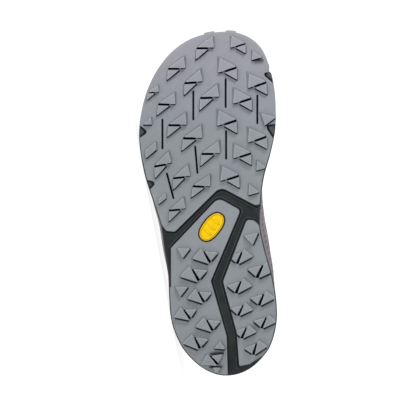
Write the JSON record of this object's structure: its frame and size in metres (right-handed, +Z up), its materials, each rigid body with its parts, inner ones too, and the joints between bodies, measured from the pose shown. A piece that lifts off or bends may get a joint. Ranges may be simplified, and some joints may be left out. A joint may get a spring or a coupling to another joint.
{
  "type": "trail running shoe",
  "caption": "Low trail running shoe with a grey lugged rubber outsole in separate pods on dark foam, a dusty mauve upper and laces, lying empty on its outer side.",
  "frame": {"origin": "middle of the bounding box at floor level", "axes": "the shoe lies on its outer side; +X runs from the toe towards the heel, +Z is up from the floor towards the shoe's inner side, and the sole faces -Y"},
  "size_m": [0.2756, 0.1236, 0.1155],
  "materials": {
    "grey_rubber": "matt, lightly worn",
    "dark_foam": "fine-grained moulded foam",
    "yellow_inset": "smooth",
    "mesh": "knitted mesh with thin film",
    "lining": "brushed",
    "tongue_fabric": "padded knit",
    "lace_cord": "braided"
  },
  "bodies": {
    "root": {"midsole": "dark_foam", "outsole_forefoot": "grey_rubber", "outsole_heel_outer": "grey_rubber", "outsole_heel_inner": "grey_rubber", "badge": "yellow_inset", "insole": "lining", "upper": "mesh", "tongue": "tongue_fabric", "lace": "lace_cord"}
  },
  "joints": []
}
